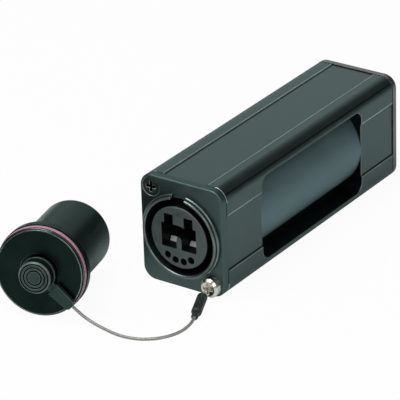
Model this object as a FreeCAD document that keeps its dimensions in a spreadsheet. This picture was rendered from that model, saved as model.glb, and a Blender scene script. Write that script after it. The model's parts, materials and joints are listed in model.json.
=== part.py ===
"""Duplex fibre coupler: a flanged box with a round port at each end and a tethered dust cap.

Millimetres. X runs across the box, Y along it from the front port to the rear port, Z up.
The origin is the middle of the base. Each port is drawn in its own frame: x across, y inwards
from the face of its flange plate, z up from the port's axis.
"""
import FreeCAD
import Part
import Sketcher

import math
import os

SIZES = {
    # Box
    "box_width": 26.0,
    "box_height": 31.0,
    "corner_radius": 3.75,
    "housing_length": 82.0,
    "panel_recess": 0.3,
    "panel_slope": 0.6,
    "top_panel_width": 12.8,
    "side_panel_height": 14.9,
    "barrel_wall": 0.8,
    "window_length": 49.4,
    "window_height": 24.4,
    "window_corner": 3.0,
    "window_depth": 6.0,
    # Flange plate, collar and socket tube
    "plate_thickness": 2.1,
    "plate_edge": 0.7,
    "gasket_thickness": 0.3,
    "gasket_inset": 0.25,
    "tube_wall": 0.95,
    "socket_depth": 22.0,
    "collar_height": 1.8,
    "collar_step": 1.0,
    "collar_inset": 0.8,
    "collar_gap": 0.4,
    "lip_step": 0.6,
    "lip_wall": 0.85,
    "collar_edge": 0.3,
    "key_width": 4.2,
    "back_lip_thickness": 1.0,
    "back_lip_width": 1.15,
    "tube_clearance": 0.1,
    # Insert with the two fibre ports
    "ring_gap": 1.85,
    "insert_proud": 1.5,
    "insert_edge": 0.3,
    "insert_joint": 10.5,
    "base_thickness": 4.0,
    "seat_clearance": 0.05,
    "ring_thickness": 0.8,
    "ring_width": 1.4,
    "port_pitch": 6.25,
    "port_width": 4.7,
    "port_height": 4.65,
    "port_depth": 10.4,
    "rear_port_depth": 11.0,
    "mouth_depth": 3.4,
    "mouth_drop": 1.1,
    "post_width": 1.6,
    "post_top": 0.1,
    "bridge_bottom": 3.5,
    "bridge_depth": 6.0,
    "latch_width": 2.8,
    "latch_top": 6.25,
    "leaf_width": 4.4,
    "leaf_lean": 0.65,
    "leaf_thickness": 0.3,
    "leaf_foot": 0.2,
    "mark_height": 1.0,
    "mark_width": 1.3,
    "mark_depth": 0.2,
    "mark_place": 7.3,
    # Alignment sleeves, contacts, plugs and fibres
    "sleeve_radius": 0.8,
    "sleeve_bore": 0.64,
    "sleeve_length": 11.4,
    "sleeve_slot": 0.3,
    "holder_wall": 0.6,
    "holder_lip": 0.25,
    "ferrule_radius": 0.625,
    "ferrule_length": 11.0,
    "ferrule_tip": 0.15,
    "contact_radius": 1.0,
    "contact_bore": 0.65,
    "contact_set_back": 2.5,
    "contact_tail": 2.5,
    "contact_inset": 2.1,
    "contact_inner_angle": 11.0,
    "contact_outer_angle": 33.0,
    "plug_size": 4.5,
    "plug_length": 16.4,
    "plug_gap": 0.2,
    "boot_radius": 2.0,
    "boot_tip_radius": 1.1,
    "boot_length": 7.4,
    "fibre_radius": 0.45,
    "fibre_grip": 5.0,
    "wire_grip": 1.6,
    "clip_width": 12.6,
    "clip_height": 6.0,
    "clip_length": 3.5,
    "clip_gap": 1.5,
    "fit_clearance": 0.03,
    # Screws
    "screw_inset": 3.5,
    "screw_radius": 1.45,
    "screw_length": 9.5,
    "screw_hole_radius": 1.6,
    "tapped_hole_radius": 1.5,
    "tapped_hole_depth": 8.5,
    "sunk_head_radius": 2.65,
    "sunk_head_gap": 0.12,
    "pan_head_radius": 2.75,
    "pan_head_height": 2.0,
    "pan_head_crown": 0.7,
    "cross_length": 3.0,
    "cross_width": 0.75,
    "cross_depth": 0.9,
    # Tether
    "terminal_thickness": 0.6,
    "terminal_radius": 2.7,
    "lug_width": 1.8,
    "lug_angle": 40.0,
    "lug_length": 3.72,
    "tongue_width": 1.6,
    "tongue_root": 0.2,
    "tongue_lap": 0.6,
    "crimp_radius": 0.95,
    "crimp_gap": 0.1,
    "crimp_length": 6.0,
    "tether_angle": 23.9,
    "tether_sleeve_radius": 1.4,
    "tether_sleeve_tip_radius": 0.95,
    "tether_sleeve_length": 11.2,
    "tether_sleeve_tip_length": 2.2,
    "tether_wire_radius": 0.42,
    "tether_lift": 0.02,
    "tether_first_run": 2.4,
    "tether_last_run": 3.4,
    "tab_thickness": 1.1,
    "tab_arm_rise": 0.5,
    "tab_arm_start": 5.4,
    "tab_neck_width": 2.6,
    "tab_root_width": 3.6,
    "tab_tip_width": 3.0,
    "tab_tip_corner": 0.6,
    "tab_reach": 12.2,
    "tab_ring_radius": 4.7,
    "tab_angle": 41.0,
    "tab_gap": 0.2,
    # Dust cap
    "cap_x": -22.75,
    "cap_y": -75.4,
    "cap_heading": 18.0,
    "cap_disc_step": 0.3,
    "cap_disc_thickness": 1.1,
    "cap_edge": 0.5,
    "cap_recess_radius": 5.2,
    "cap_recess_depth": 0.4,
    "cap_ring_sink": 0.2,
    "cap_ring_width": 1.4,
    "cap_groove_depth": 1.1,
    "cap_overhang": 0.2,
    "cap_flange_end": 5.2,
    "cap_flange_edge": 0.4,
    "cap_fillet": 1.2,
    "cap_wall": 0.75,
    "cap_length": 28.3,
    "cap_clearance": 0.25,
    "cap_floor": 4.8,
    "rivet_radius": 4.4,
    "rivet_height": 2.6,
    "rivet_neck_radius": 2.5,
    "rivet_shank_radius": 1.5,
    "rivet_shank_length": 3.6,
    "rivet_groove_radius": 3.55,
    "rivet_groove_width": 0.4,
    "rivet_groove_depth": 0.4,
    "rivet_land_width": 0.5,
    "running_clearance": 0.1,
}

# Points of the tether as it lies in front of the box, between the runs that leave its two ends.
TETHER_POINTS = [
    (13.95, -62.6, 0.85),
    (13.2, -65.3, 0.5),
    (11.8, -68.3, 0.47),
    (9.6, -71.0, 0.47),
    (6.5, -73.0, 0.47),
    (2.4, -73.95, 0.47),
    (-1.2, -73.75, 0.48),
    (-4.6, -73.1, 0.55),
    (-8.0, -72.85, 1.05),
]

# Rings turned in the face of the cap's button.
BUTTON_GROOVES = 3
# Share of the shorter of two runs that an arc of the tether takes up.
ARC_SHARE = 0.45
# Edges this near to a plane count as lying in it.
SAME_PLANE = 1e-6

doc = FreeCAD.newDocument("FibreCoupler")
sheet = doc.addObject("Spreadsheet::Sheet", "Sizes")
for row, (alias, number) in enumerate(SIZES.items(), start=1):
    sheet.set(f"A{row}", alias)
    sheet.set(f"B{row}", str(number))
    sheet.setAlias(f"B{row}", alias)
doc.recompute()

nodes = []


class Size:
    """A length that holds both its number and the sheet expression that it comes from."""

    def __init__(self, number, text):
        self.number = number
        self.text = text

    def __add__(self, other):
        other = as_size(other)
        return Size(self.number + other.number, f"({self.text} + {other.text})")

    def __radd__(self, other):
        return as_size(other) + self

    def __sub__(self, other):
        other = as_size(other)
        return Size(self.number - other.number, f"({self.text} - {other.text})")

    def __rsub__(self, other):
        return as_size(other) - self

    def __mul__(self, factor):
        return Size(self.number * factor, f"({self.text} * {factor})")

    __rmul__ = __mul__

    def __truediv__(self, divisor):
        return Size(self.number / divisor, f"({self.text} / {divisor})")

    def __neg__(self):
        return Size(-self.number, f"(0 - {self.text})")


ZERO = Size(0.0, "0")


def as_size(length):
    """Turn a plain number into a Size."""
    if isinstance(length, Size):
        return length
    return Size(float(length), str(float(length)))


def size(alias):
    """Read one cell of the sheet."""
    return Size(float(sheet.get(alias)), f"Sizes.{alias}")


def distance(across, up):
    """Straight distance from the origin to a place across and up."""
    return Size(math.hypot(across.number, up.number), f"sqrt({across.text}^2 + {up.text}^2)")


def smaller(first, second):
    """The smaller of two lengths."""
    return Size(min(first.number, second.number), f"min({first.text}; {second.text})")


def polar(radius, angle, turn):
    """Place on a circle, measured in degrees from straight down, as (x, z)."""
    degrees = angle.number * turn
    tie = f"{angle.text} * {turn} * 1 deg"
    across = Size(radius.number * math.sin(math.radians(degrees)), f"({radius.text} * sin({tie}))")
    up = Size(-radius.number * math.cos(math.radians(degrees)), f"(0 - {radius.text} * cos({tie}))")
    return across, up


def bind(feature, **lengths):
    """Tie properties to the sheet; two underscores in a name stand for a dot."""
    for name, length in lengths.items():
        feature.setExpression(name.replace("__", "."), as_size(length).text)


def at(feature, x=ZERO, y=ZERO, z=ZERO):
    """Tie the place of a feature to the sheet and keep its turn."""
    bind(feature, Placement__Base__x=x, Placement__Base__y=y, Placement__Base__z=z)
    return feature


ALONG_Y = FreeCAD.Rotation(FreeCAD.Vector(1, 0, 0), -90)
HALF_TURN = FreeCAD.Rotation(FreeCAD.Vector(0, 0, 1), 180)


def block(name, x, y, z):
    """Box between two values on each axis."""
    feature = doc.addObject("Part::Box", name)
    bind(feature, Length=x[1] - x[0], Width=y[1] - y[0], Height=z[1] - z[0])
    return at(feature, x[0], y[0], z[0])


def rod(name, radius, y, x=ZERO, z=ZERO):
    """Cylinder along Y."""
    feature = doc.addObject("Part::Cylinder", name)
    feature.Placement.Rotation = ALONG_Y
    bind(feature, Radius=radius, Height=y[1] - y[0])
    return at(feature, x, y[0], z)


def cone(name, radii, y, x=ZERO, z=ZERO):
    """Cone along Y between two radii."""
    feature = doc.addObject("Part::Cone", name)
    feature.Placement.Rotation = ALONG_Y
    bind(feature, Radius1=radii[0], Radius2=radii[1], Height=y[1] - y[0])
    return at(feature, x, y[0], z)


def join(name, pieces):
    """Fuse pieces into one."""
    feature = doc.addObject("Part::MultiFuse", name)
    feature.Shapes = pieces
    return feature


def cut(name, stock, tools):
    """Take one or more tools out of a piece."""
    feature = doc.addObject("Part::Cut", name)
    feature.Base = stock
    feature.Tool = tools[0] if len(tools) == 1 else join(f"{name}_tools", tools)
    return feature


def group(name, pieces):
    """Keep several like solids together as one sub-part."""
    feature = doc.addObject("Part::Compound", name)
    feature.Links = pieces
    return feature


def sketch_on(body, name, role):
    """Empty sketch on one of the origin planes of its body."""
    sketch = body.newObject("Sketcher::SketchObject", name)
    planes = {plane.Role: plane for plane in body.Origin.OriginFeatures}
    sketch.AttachmentSupport = (planes[role], [""])
    sketch.MapMode = "FlatFace"
    return sketch


def hold(sketch, geometry, point, kind, axis, length, name):
    """Tie one coordinate of a sketch point to the sheet."""
    length = as_size(length)
    if length.text == "0":
        sketch.addConstraint(Sketcher.Constraint("PointOnObject", geometry, point, axis))
        return
    if length.number < 0:
        length = -length
        index = sketch.addConstraint(Sketcher.Constraint(kind, geometry, point, -1, 1, length.number))
    else:
        index = sketch.addConstraint(Sketcher.Constraint(kind, -1, 1, geometry, point, length.number))
    sketch.renameConstraint(index, name)
    sketch.setExpression(f"Constraints.{name}", length.text)


def polygon(sketch, points):
    """Closed outline with every corner tied to the sheet."""
    corners = [FreeCAD.Vector(as_size(u).number, as_size(v).number, 0) for u, v in points]
    count = len(corners)
    for index in range(count):
        line = Part.LineSegment(corners[index], corners[(index + 1) % count])
        sketch.addGeometry(line, False)
    for index in range(count):
        following = (index + 1) % count
        sketch.addConstraint(Sketcher.Constraint("Coincident", index, 2, following, 1))
    for index, (u, v) in enumerate(points):
        hold(sketch, index, 1, "DistanceX", -2, u, f"u{index}")
        hold(sketch, index, 1, "DistanceY", -1, v, f"v{index}")


def rounded_outline(sketch, width, height, corner):
    """Rectangle about the origin with four equal round corners."""
    w = width.number / 2
    h = height.number / 2
    r = corner.number
    vector = FreeCAD.Vector
    sides = [
        (vector(r - w, -h, 0), vector(w - r, -h, 0)),
        (vector(w, r - h, 0), vector(w, h - r, 0)),
        (vector(w - r, h, 0), vector(r - w, h, 0)),
        (vector(-w, h - r, 0), vector(-w, r - h, 0)),
    ]
    for start, end in sides:
        sketch.addGeometry(Part.LineSegment(start, end), False)
    centres = [(w - r, r - h), (w - r, h - r), (r - w, h - r), (r - w, r - h)]
    for index, (u, v) in enumerate(centres):
        circle = Part.Circle(vector(u, v, 0), vector(0, 0, 1), r)
        start = (index - 1) * math.pi / 2
        sketch.addGeometry(Part.ArcOfCircle(circle, start, start + math.pi / 2), False)
    for index in range(4):
        arc = index + 4
        following = (index + 1) % 4
        sketch.addConstraint(Sketcher.Constraint("Tangent", index, 2, arc, 1))
        sketch.addConstraint(Sketcher.Constraint("Tangent", arc, 2, following, 1))
    for index in (5, 6, 7):
        sketch.addConstraint(Sketcher.Constraint("Equal", 4, index))
    for index, kind in enumerate(("Horizontal", "Vertical", "Horizontal", "Vertical")):
        sketch.addConstraint(Sketcher.Constraint(kind, index))
    hold(sketch, 0, 1, "DistanceY", -1, -height / 2, "bottom")
    hold(sketch, 1, 1, "DistanceX", -2, width / 2, "right")
    hold(sketch, 2, 1, "DistanceY", -1, height / 2, "top")
    hold(sketch, 3, 1, "DistanceX", -2, -width / 2, "left")
    radius = sketch.addConstraint(Sketcher.Constraint("Radius", 4, corner.number))
    sketch.renameConstraint(radius, "corner")
    sketch.setExpression("Constraints.corner", corner.text)


def pad(name, role, draw, length, reverse):
    """Body padded from an outline on one of its origin planes."""
    body = doc.addObject("PartDesign::Body", name)
    sketch = sketch_on(body, f"{name}_outline", role)
    draw(sketch)
    feature = body.newObject("PartDesign::Pad", f"{name}_pad")
    feature.Profile = sketch
    feature.Reversed = reverse
    bind(feature, Length=length)
    return body


def rounded_plate(name, width, height, corner, thickness):
    """Plate with round corners that stands across Y, its face at y = 0."""
    def draw(sketch):
        rounded_outline(sketch, width, height, corner)

    return pad(name, "XZ_Plane", draw, thickness, True)


def turned(name, points):
    """Body turned about Y from (radius, y) points."""
    body = doc.addObject("PartDesign::Body", name)
    sketch = sketch_on(body, f"{name}_half", "XY_Plane")
    polygon(sketch, points)
    feature = body.newObject("PartDesign::Revolution", f"{name}_turn")
    feature.Profile = sketch
    feature.ReferenceAxis = (sketch, ["V_Axis"])
    feature.Angle = 360
    return body


def finish(label, feature):
    """Keep a feature as a sub-part under its own name."""
    feature.Label = label
    nodes.append(feature)
    return feature


half_width = size("box_width") / 2
half_height = size("box_height") / 2
half_housing = size("housing_length") / 2
half_length = half_housing + size("gasket_thickness") + size("plate_thickness")
screw_x = half_width - size("screw_inset")
screw_z = half_height - size("screw_inset")
# The collar is as wide as the plate's sides and the terminal under its corner screw leave room for.
screw_room = distance(screw_x, screw_z) - size("terminal_radius") - size("collar_gap")
collar_radius = smaller(half_width - size("collar_inset"), screw_room)
lip_radius = collar_radius - size("lip_step")
socket_radius = lip_radius - size("lip_wall")
tube_radius = socket_radius + size("tube_wall")
bore_radius = tube_radius + size("tube_clearance")
back_lip_radius = socket_radius - size("back_lip_width")
insert_radius = socket_radius - size("ring_gap")
contact_circle = insert_radius - size("contact_inset")
cap_bore_radius = insert_radius + size("cap_clearance")
cap_body_radius = cap_bore_radius + size("cap_wall")
cap_flange_radius = collar_radius + size("cap_overhang")
cap_disc_radius = cap_flange_radius - size("cap_disc_step")
cap_ring_radius = cap_flange_radius - size("cap_ring_sink")
base_back = size("socket_depth") + size("base_thickness")
tube_end = base_back + size("back_lip_thickness")
insert_front = -size("insert_proud")
port_x = size("port_pitch") / 2
port_half = size("port_width") / 2
port_rise = size("port_height") / 2
mouth_floor = -(port_rise + size("mouth_drop"))
mouth_back = insert_front + size("mouth_depth")
leaf_floor = mouth_floor - size("leaf_foot")
holder_radius = size("sleeve_radius") + size("holder_wall")
holder_bore = size("sleeve_radius") + size("fit_clearance")
holder_reach = size("sleeve_length") / 2 + size("holder_lip")
plug_front = size("insert_joint") + holder_reach + size("plug_gap")
plug_back = plug_front + size("plug_length")
boot_end = plug_back + size("boot_length")
contact_front = insert_front + size("contact_set_back")
contact_back = base_back + size("contact_tail")
tether_slant = math.radians(size("tether_angle").number)
crimp_corner = size("crimp_radius") * math.tan(tether_slant)
crimp_start = size("pan_head_height") / math.cos(tether_slant) + crimp_corner + size("crimp_gap")
tongue_end = crimp_start + size("tongue_lap")
tether_sleeve_start = tongue_end + size("fit_clearance")
SIDES = (("left", -1), ("right", 1))
CONTACT_PLACES = [
    polar(contact_circle, size("contact_outer_angle"), -1),
    polar(contact_circle, size("contact_inner_angle"), -1),
    polar(contact_circle, size("contact_inner_angle"), 1),
    polar(contact_circle, size("contact_outer_angle"), 1),
]


def place_port(feature, end, x=ZERO):
    """Move a piece from a port's own frame to the front or the rear of the box."""
    if end == "front":
        return at(feature, x, -half_length, half_height)
    feature.Placement.Rotation = HALF_TURN
    return at(feature, -x, half_length, half_height)


def window_tool(side, sign):
    """Pocket in one side of the housing that stops on the round barrel inside."""
    depth = size("window_depth")
    body = pad(
        f"window_{side}",
        "YZ_Plane",
        lambda sketch: rounded_outline(
            sketch, size("window_length"), size("window_height"), size("window_corner")
        ),
        depth * 2,
        False,
    )
    at(body, half_width * sign - depth, ZERO, half_height)
    span = (-size("window_length"), size("window_length"))
    barrel = rod(f"barrel_{side}", bore_radius + size("barrel_wall"), span, ZERO, half_height)
    return cut(f"window_{side}_pocket", body, [barrel])


def panel_tools():
    """Bars that sink a panel with sloping edges along each of the four sides of the housing."""
    recess = size("panel_recess")
    level = size("top_panel_width") / 2
    upright = size("side_panel_height") / 2
    panels = {
        "top": (level, ZERO, size("box_height"), lambda along, out: (along, out)),
        "base": (level, ZERO, ZERO, lambda along, out: (along, -out)),
        "left": (upright, -half_width, half_height, lambda along, out: (-out, along)),
        "right": (upright, half_width, half_height, lambda along, out: (out, along)),
    }
    tools = []
    for name, (flat, x, z, turn) in panels.items():
        wide = flat + size("panel_slope") * 2
        section = [(-flat, -recess), (flat, -recess), (wide, recess), (-wide, recess)]
        outline = [turn(along, out) for along, out in section]
        bar = pad(
            f"housing_{name}_panel",
            "XZ_Plane",
            lambda sketch: polygon(sketch, outline),
            half_length * 2,
            True,
        )
        tools.append(at(bar, x, -half_length, z))
    return tools


def make_housing():
    """Extruded box with sunk panels, a through bore, two side pockets and four tapped holes."""
    core = rounded_plate(
        "housing_core",
        size("box_width"),
        size("box_height"),
        size("corner_radius"),
        size("housing_length"),
    )
    at(core, ZERO, -half_housing, half_height)
    tools = panel_tools()
    tools.append(rod("housing_bore", bore_radius, (-half_length, half_length), ZERO, half_height))
    for side, sign in SIDES:
        tools.append(window_tool(side, sign))
    depth = size("tapped_hole_depth")
    for name, direction in (("front", -1), ("rear", 1)):
        face = half_housing * direction
        reach = (face - depth, face + depth)
        for place, sign in (("upper", 1), ("lower", -1)):
            x = screw_x * sign * direction
            z = half_height + screw_z * sign
            tools.append(rod(f"tapped_{name}_{place}", size("tapped_hole_radius"), reach, x, z))
    finish("housing", cut("housing_cut", core, tools))


def make_shell(end):
    """Flange plate with a stepped collar and the socket tube behind it, in one piece."""
    edge = size("collar_edge")
    front = -size("collar_height")
    step = -size("collar_step")
    plate = rounded_plate(
        f"{end}_plate",
        size("box_width"),
        size("box_height"),
        size("corner_radius"),
        size("plate_thickness"),
    )
    doc.recompute()
    flat = plate.Tip
    face_edges = []
    for index, line in enumerate(flat.Shape.Edges, start=1):
        if max(abs(line.BoundBox.YMin), abs(line.BoundBox.YMax)) < SAME_PLANE:
            face_edges.append(f"Edge{index}")
    rounding = plate.newObject("PartDesign::Fillet", f"{end}_plate_edge")
    rounding.Base = (flat, face_edges)
    bind(rounding, Radius=size("plate_edge"))
    tube = turned(
        f"{end}_tube",
        [
            (socket_radius + edge, front),
            (lip_radius - edge, front),
            (lip_radius, front + edge),
            (lip_radius, step),
            (collar_radius - edge, step),
            (collar_radius, step + edge),
            (collar_radius, size("plate_thickness") / 2),
            (tube_radius, size("plate_thickness") / 2),
            (tube_radius, tube_end),
            (back_lip_radius, tube_end),
            (back_lip_radius, base_back),
            (socket_radius, base_back),
            (socket_radius, front + edge),
        ],
    )
    behind = size("plate_thickness") * 2
    middle = (socket_radius + tube_radius) / 2
    mouth = rod(f"{end}_plate_mouth", middle, (-behind, behind))
    stock = join(f"{end}_shell_stock", [cut(f"{end}_plate_ring", plate, [mouth]), tube])
    key = size("key_width") / 2
    key_top = collar_radius + edge
    sunk = size("sunk_head_radius") + size("sunk_head_gap")
    hole = size("screw_hole_radius")
    tools = [
        block(f"{end}_key", (-key, key), (front * 2, ZERO), (insert_radius, key_top)),
        rod(f"{end}_upper_hole", hole, (-behind, behind), -screw_x, screw_z),
        rod(f"{end}_lower_hole", hole, (-behind, behind), screw_x, -screw_z),
        cone(f"{end}_upper_sink", (sunk, hole), (ZERO, sunk - hole), -screw_x, screw_z),
    ]
    if end == "rear":
        tools.append(cone(f"{end}_lower_sink", (sunk, hole), (ZERO, sunk - hole), screw_x, -screw_z))
    finish(f"{end}_shell", place_port(cut(f"{end}_shell_cut", stock, tools), end))


def make_gasket(end):
    """Thin gasket between the flange plate and the housing."""
    inset = size("gasket_inset")
    sheet_body = rounded_plate(
        f"{end}_gasket_sheet",
        size("box_width") - inset * 2,
        size("box_height") - inset * 2,
        size("corner_radius") - inset,
        size("gasket_thickness"),
    )
    at(sheet_body, ZERO, size("plate_thickness"), ZERO)
    reach = (ZERO, half_length)
    hole = size("screw_hole_radius")
    tools = [
        rod(f"{end}_gasket_mouth", bore_radius, reach),
        rod(f"{end}_gasket_upper", hole, reach, -screw_x, screw_z),
        rod(f"{end}_gasket_lower", hole, reach, screw_x, -screw_z),
    ]
    finish(f"{end}_gasket", place_port(cut(f"{end}_gasket_cut", sheet_body, tools), end))


def contact_bores(prefix, y):
    """Four holes for the contacts, below the fibre ports."""
    bores = []
    for index, (x, z) in enumerate(CONTACT_PLACES, start=1):
        bores.append(rod(f"{prefix}_contact_hole_{index}", size("contact_radius"), y, x, z))
    return bores


def make_insert(end):
    """Front half of the insert: the face with the two fibre ports and the contact holes."""
    edge = size("insert_edge")
    joint = size("insert_joint")
    stock = turned(
        f"{end}_insert_stock",
        [
            (ZERO, insert_front),
            (insert_radius - edge, insert_front),
            (insert_radius, insert_front + edge),
            (insert_radius, joint),
            (ZERO, joint),
        ],
    )
    before = insert_front - edge
    port_back = insert_front + size("port_depth")
    post = size("post_width") / 2
    outer = port_x + port_half
    post_axis = size("post_top") - post
    seat_back = mouth_back + size("leaf_thickness")
    seat_outline = [
        (mouth_back, leaf_floor),
        (seat_back, leaf_floor),
        (seat_back, mouth_floor),
        (seat_back + size("leaf_lean"), -port_rise),
        (mouth_back, -port_rise),
    ]
    tools = []
    for side, sign in SIDES:
        x = port_x * sign
        span = (x - port_half, x + port_half)
        latch = (x - size("latch_width") / 2, x + size("latch_width") / 2)
        mouth_x = (-outer, -post) if sign < 0 else (post, outer)
        name = f"{end}_{side}"
        seat = pad(
            f"{name}_leaf_seat",
            "YZ_Plane",
            lambda sketch: polygon(sketch, seat_outline),
            size("leaf_width"),
            False,
        )
        tools += [
            block(f"{name}_mouth", mouth_x, (before, mouth_back), (mouth_floor, post_axis)),
            block(f"{name}_port", span, (before, port_back), (-port_rise, port_rise)),
            block(f"{name}_latch", latch, (before, port_back), (ZERO, size("latch_top"))),
            at(seat, x - size("leaf_width") / 2, ZERO, ZERO),
        ]
    bridge_back = insert_front + size("bridge_depth")
    bridge_z = (post_axis, size("bridge_bottom"))
    bridge = block(f"{end}_bridge", (-outer, outer), (before, bridge_back), bridge_z)
    post_round = rod(f"{end}_post", post, (before, bridge_back), ZERO, post_axis)
    tools.append(cut(f"{end}_bridge_cut", bridge, [post_round]))
    tools += contact_bores(f"{end}_insert", (before, joint))
    mark_low = size("mark_place") - size("mark_height")
    half_mark = size("mark_width") / 2
    mark = pad(
        f"{end}_mark",
        "XZ_Plane",
        lambda sketch: polygon(
            sketch, [(-half_mark, mark_low), (half_mark, mark_low), (ZERO, size("mark_place"))]
        ),
        size("mark_depth"),
        True,
    )
    tools.append(at(mark, ZERO, insert_front, ZERO))
    opened = cut(f"{end}_insert_open", stock, tools)
    holders = []
    bores = []
    for side, sign in SIDES:
        x = port_x * sign
        front = joint - holder_reach
        lip_bore = (size("sleeve_radius") + size("sleeve_bore")) / 2
        holders.append(rod(f"{end}_{side}_holder", holder_radius, (front, joint), x))
        bores.append(rod(f"{end}_{side}_bore", holder_bore, (joint - size("sleeve_length") / 2, joint), x))
        bores.append(rod(f"{end}_{side}_lip_bore", lip_bore, (front, joint), x))
    whole = join(f"{end}_insert_whole", [opened] + holders)
    finish(f"{end}_insert", place_port(cut(f"{end}_insert_cut", whole, bores), end))


def make_adapter_back(end):
    """Back half of the insert, with the base that seats in the tube and the inner plug ports."""
    joint = size("insert_joint")
    base_radius = socket_radius - size("seat_clearance")
    stock = turned(
        f"{end}_back_stock",
        [
            (ZERO, joint),
            (insert_radius, joint),
            (insert_radius, size("socket_depth")),
            (base_radius, size("socket_depth")),
            (base_radius, base_back),
            (ZERO, base_back),
        ],
    )
    port_front = base_back - size("rear_port_depth")
    tools = contact_bores(f"{end}_back", (joint, base_back))
    holders = []
    bores = []
    for side, sign in SIDES:
        x = port_x * sign
        span = (x - port_half, x + port_half)
        sleeve_end = joint + size("sleeve_length") / 2
        lip_bore = (size("sleeve_radius") + size("sleeve_bore")) / 2
        port_y = (port_front, base_back)
        tools.append(block(f"{end}_{side}_plug_port", span, port_y, (-port_rise, port_rise)))
        holders.append(rod(f"{end}_{side}_back_holder", holder_radius, (joint, joint + holder_reach), x))
        bores.append(rod(f"{end}_{side}_back_bore", holder_bore, (joint, sleeve_end), x))
        bores.append(rod(f"{end}_{side}_back_lip_bore", lip_bore, (joint, joint + holder_reach), x))
    whole = join(f"{end}_back_whole", [cut(f"{end}_back_open", stock, tools)] + holders)
    finish(f"{end}_adapter_back", place_port(cut(f"{end}_back_cut", whole, bores), end))


def make_ring(end):
    """Retaining ring in the bottom of the socket, in front of the insert's base."""
    outer = socket_radius - size("fit_clearance")
    y = (size("socket_depth") - size("ring_thickness"), size("socket_depth"))
    disc = rod(f"{end}_ring_disc", outer, y)
    hole = rod(f"{end}_ring_hole", outer - size("ring_width"), y)
    finish(f"{end}_retaining_ring", place_port(cut(f"{end}_ring_cut", disc, [hole]), end))


def make_sleeves(end):
    """Split ceramic sleeves that line up the fibres of each port."""
    reach = size("sleeve_length") / 2
    y = (size("insert_joint") - reach, size("insert_joint") + reach)
    slot = size("sleeve_slot") / 2
    for side, sign in SIDES:
        x = port_x * sign
        name = f"{end}_{side}_sleeve"
        tools = [
            rod(f"{name}_inside", size("sleeve_bore"), y, x),
            block(f"{name}_slot", (x - slot, x + slot), y, (ZERO, size("sleeve_radius") * 2)),
        ]
        sleeve = cut(f"{name}_cut", rod(f"{name}_rod", size("sleeve_radius"), y, x), tools)
        finish(f"{end}_sleeve_{side}", place_port(sleeve, end))


def make_leaves(end):
    """Steel leaf that leans back at the end of each port mouth, with its foot in the insert."""
    gap = size("fit_clearance")
    front = mouth_back + gap
    back = mouth_back + size("leaf_thickness") - gap
    lean = size("leaf_lean")
    outline = [
        (front, leaf_floor + gap),
        (back, leaf_floor + gap),
        (back, mouth_floor),
        (back + lean, -port_rise),
        (front + lean, -port_rise),
        (front, mouth_floor),
    ]
    width = size("leaf_width") - gap * 2
    for side, sign in SIDES:
        leaf = pad(
            f"{end}_{side}_leaf",
            "YZ_Plane",
            lambda sketch: polygon(sketch, outline),
            width,
            False,
        )
        finish(f"{end}_leaf_{side}", place_port(leaf, end, port_x * sign - width / 2))


def make_contacts(end):
    """Four socket contacts through the insert, each with a hollow tail for its wire."""
    contacts = []
    radius = size("contact_radius") - size("fit_clearance")
    for index, (x, z) in enumerate(CONTACT_PLACES, start=1):
        name = f"{end}_contact_{index}"
        pin_hole = (contact_front, contact_front + size("insert_joint"))
        wire_hole = (contact_back - size("contact_tail"), contact_back)
        tools = [
            rod(f"{name}_socket", size("contact_bore"), pin_hole, x, z),
            rod(f"{name}_cup", size("contact_bore"), wire_hole, x, z),
        ]
        contacts.append(cut(name, rod(f"{name}_rod", radius, (contact_front, contact_back), x, z), tools))
    finish(f"{end}_contacts", place_port(group(f"{end}_contact_group", contacts), end))


def make_plugs(end):
    """Inner plugs with their ferrules and boots, and the clip that pairs them."""
    half = size("plug_size") / 2
    gap = size("fit_clearance")
    tip = size("ferrule_tip")
    ferrule_front = size("insert_joint") + gap
    ferrule_back = ferrule_front + size("ferrule_length")
    clip_front = base_back + size("clip_gap")
    clip_y = (clip_front, clip_front + size("clip_length"))
    clip_tools = []
    for side, sign in SIDES:
        x = port_x * sign
        name = f"{end}_{side}"
        plug = block(f"{name}_plug_block", (x - half, x + half), (plug_front, plug_back), (-half, half))
        seat = rod(f"{name}_plug_bore", size("ferrule_radius") + gap, (plug_front, ferrule_back), x)
        finish(f"{end}_plug_{side}", place_port(cut(f"{name}_plug", plug, [seat]), end))
        ferrule = turned(
            f"{name}_ferrule",
            [
                (ZERO, ferrule_front),
                (size("ferrule_radius") - tip, ferrule_front),
                (size("ferrule_radius"), ferrule_front + tip),
                (size("ferrule_radius"), ferrule_back),
                (ZERO, ferrule_back),
            ],
        )
        finish(f"{end}_ferrule_{side}", place_port(ferrule, end, x))
        boot_radii = (size("boot_radius"), size("boot_tip_radius"))
        boot = cone(f"{name}_boot", boot_radii, (plug_back, boot_end), x)
        grip_y = (boot_end - size("fibre_grip"), boot_end)
        fibre_bore = rod(f"{name}_boot_bore", size("fibre_radius") + gap, grip_y, x)
        finish(f"{end}_boot_{side}", place_port(cut(f"{name}_boot_cut", boot, [fibre_bore]), end))
        hole = half + gap
        clip_tools.append(block(f"{name}_clip_hole", (x - hole, x + hole), clip_y, (-hole, hole)))
    clip_half = size("clip_width") / 2
    clip_rise = size("clip_height") / 2
    clip = block(f"{end}_clip_block", (-clip_half, clip_half), clip_y, (-clip_rise, clip_rise))
    finish(f"{end}_plug_clip", place_port(cut(f"{end}_clip_cut", clip, clip_tools), end))


def cross_recess(name, face, x=ZERO, z=ZERO):
    """Cross recess in a screw head."""
    long_half = size("cross_length") / 2
    short_half = size("cross_width") / 2
    y = (face - size("cross_depth"), face + size("cross_depth"))
    return [
        block(f"{name}_flat", (x - long_half, x + long_half), y, (z - short_half, z + short_half)),
        block(f"{name}_upright", (x - short_half, x + short_half), y, (z - long_half, z + long_half)),
    ]


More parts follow.
